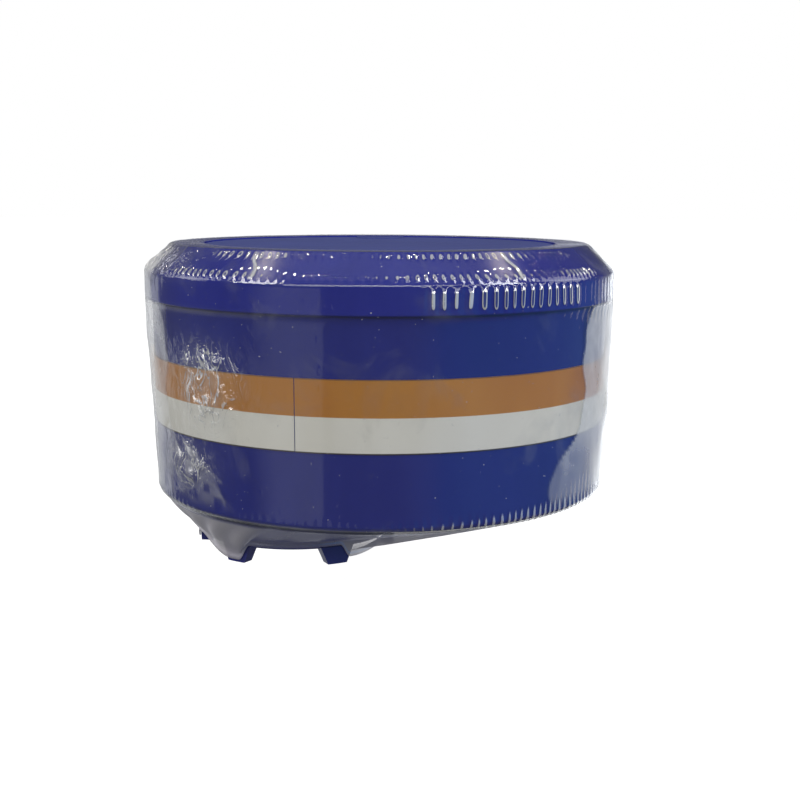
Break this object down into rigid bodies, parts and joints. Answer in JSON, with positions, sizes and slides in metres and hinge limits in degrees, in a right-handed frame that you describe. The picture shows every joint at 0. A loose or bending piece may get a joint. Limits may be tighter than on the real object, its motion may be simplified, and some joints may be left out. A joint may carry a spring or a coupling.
{
  "type": "gas and particle filter canister",
  "caption": "Squat round breathing-mask filter canister in a shrink sleeve, with a chamfered lid, a brown-and-white band and a lugged screw cap on its off-centre threaded outlet.",
  "frame": {"origin": "on the housing's axis, level with the tips of the outlet cap's lugs, on which it stands", "axes": "+Z from the outlet to the inlet, along the housing's axis; the outlet's axis is parallel to it, towards -X"},
  "size_m": [0.108, 0.108, 0.0714],
  "materials": {
    "housing_plastic": "glossy moulded",
    "lid_plastic": "glossy moulded",
    "cap_plastic": "glossy moulded",
    "seal_foil": "satin laminate",
    "seal_rubber": "matte",
    "fleece": "matte felted",
    "cassette_plastic": "matte",
    "glue": "waxy",
    "filter_paper": "matte",
    "ring_steel": "brushed",
    "grid_plastic": "matte",
    "carbon": "granular",
    "label_film": "satin print, brown above white",
    "shrink_film": "clear glossy film"
  },
  "bodies": {
    "canister": {"housing": "housing_plastic", "lid": "lid_plastic", "lid_gasket": "seal_rubber", "inlet_fleece": "fleece", "cassette_frame": "cassette_plastic", "cassette_bead": "glue", "pleat_potting": "glue", "pleated_filter": "filter_paper", "pleat_spacers": "glue", "retaining_ring": "ring_steel", "upper_grid": "grid_plastic", "upper_fleece": "fleece", "carbon_bed": "carbon", "lower_fleece": "fleece", "lower_grid": "grid_plastic", "outlet_connector": "housing_plastic", "outlet_screen": "fleece", "band_label": "label_film", "shrink_sleeve": "shrink_film"},
    "seal": {"inlet_seal": "seal_foil"},
    "washer": {"cap_gasket": "seal_rubber"},
    "cap": {"outlet_cap": "cap_plastic"}
  },
  "joints": [
    {"name": "seal_lift", "type": "slide", "parent": "canister", "child": "seal", "axis": [0, 0, 1], "range_m": [0, 0.03]},
    {"name": "cap_travel", "type": "slide", "parent": "canister", "child": "washer", "axis": [0, 0, -1], "range_m": [0, 0.01452]},
    {"name": "cap_unscrew", "type": "hinge", "parent": "washer", "child": "cap", "pos_m": [-0.0195, 0, 0.0062], "axis": [0, 0, -1], "range_deg": [0, 1440.1]}
  ],
  "couplings": [
    {"joint": "cap_unscrew", "follows": "cap_travel", "rad_per_m": 1731.4}
  ]
}
